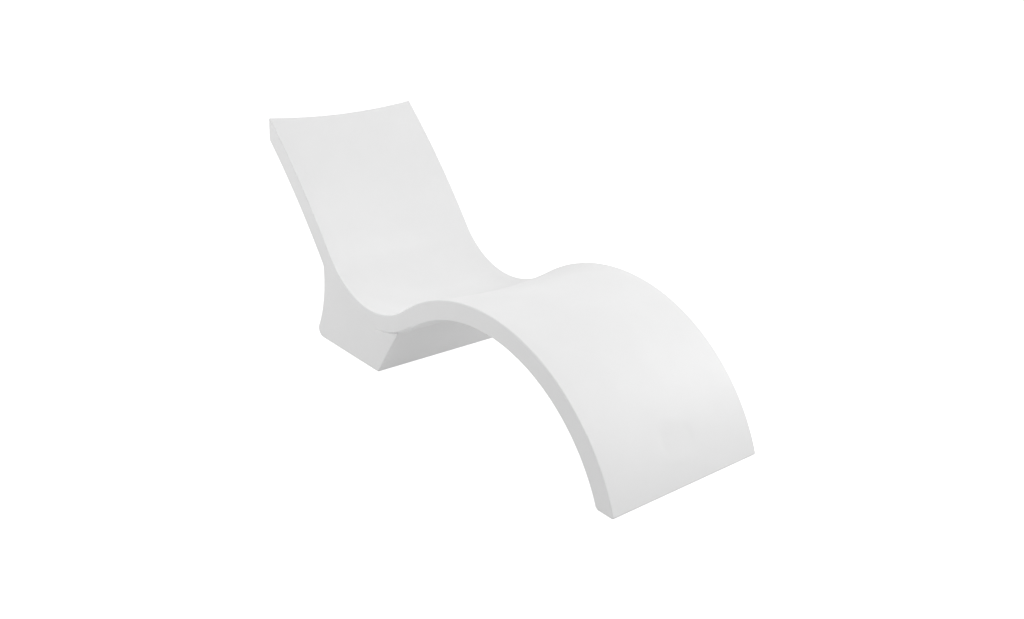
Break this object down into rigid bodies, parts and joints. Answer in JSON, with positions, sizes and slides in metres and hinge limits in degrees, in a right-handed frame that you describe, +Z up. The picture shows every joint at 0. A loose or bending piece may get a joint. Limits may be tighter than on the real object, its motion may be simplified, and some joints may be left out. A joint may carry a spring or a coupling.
{
  "type": "moulded relaxation lounger",
  "caption": "Low S-curved hollow moulded lounger with a dished seat and backrest, a rear pedestal and screw-plugged ports for filling it with water.",
  "frame": {"origin": "on the floor, in the middle of the footprint", "axes": "+X across the lounger, +Y from the foot towards the head, +Z up"},
  "size_m": [0.61, 1.82, 0.7333],
  "materials": {
    "moulded_polyethylene": "white rotationally moulded polyethylene, satin with a faint pebbled skin",
    "insert_brass": "machined brass, slightly dulled by water",
    "seal_rubber": "black moulded ring, satin",
    "plug_nylon": "white injection-moulded nylon, fine grain"
  },
  "bodies": {
    "shell": {"moulded_shell": "moulded_polyethylene", "fill_insert": "insert_brass", "heel_insert": "insert_brass", "foot_insert": "insert_brass"},
    "fill_seal": {"fill_seal": "seal_rubber"},
    "fill_plug": {"fill_plug": "plug_nylon"},
    "heel_seal": {"heel_seal": "seal_rubber"},
    "heel_plug": {"heel_plug": "plug_nylon"},
    "foot_seal": {"foot_seal": "seal_rubber"},
    "foot_plug": {"foot_plug": "plug_nylon"}
  },
  "joints": [
    {"name": "fill_plug_lift", "type": "slide", "parent": "shell", "child": "fill_seal", "axis": [0, 0.7077, -0.7065], "range_m": [0, 0.0141]},
    {"name": "fill_plug_turn", "type": "hinge", "parent": "fill_seal", "child": "fill_plug", "pos_m": [0, 0.77292, 0.53302], "axis": [0, 0.7077, -0.7065], "range_deg": [0, 1260]},
    {"name": "heel_plug_lift", "type": "slide", "parent": "shell", "child": "heel_seal", "axis": [0, 0.9442, 0.3294], "range_m": [0, 0.0141]},
    {"name": "heel_plug_turn", "type": "hinge", "parent": "heel_seal", "child": "heel_plug", "pos_m": [0, 0.56912, 0.07671], "axis": [0, 0.9442, 0.3294], "range_deg": [0, 1260]},
    {"name": "foot_plug_lift", "type": "slide", "parent": "shell", "child": "foot_seal", "axis": [0, 0.8251, -0.565], "range_m": [0, 0.0141]},
    {"name": "foot_plug_turn", "type": "hinge", "parent": "foot_seal", "child": "foot_plug", "pos_m": [0, -0.79602, 0.10065], "axis": [0, 0.8251, -0.565], "range_deg": [0, 1260]}
  ],
  "couplings": [
    {"joint": "fill_plug_lift", "follows": "fill_plug_turn", "m_per_rad": 0.00063662},
    {"joint": "heel_plug_lift", "follows": "heel_plug_turn", "m_per_rad": 0.00063662},
    {"joint": "foot_plug_lift", "follows": "foot_plug_turn", "m_per_rad": 0.00063662}
  ]
}
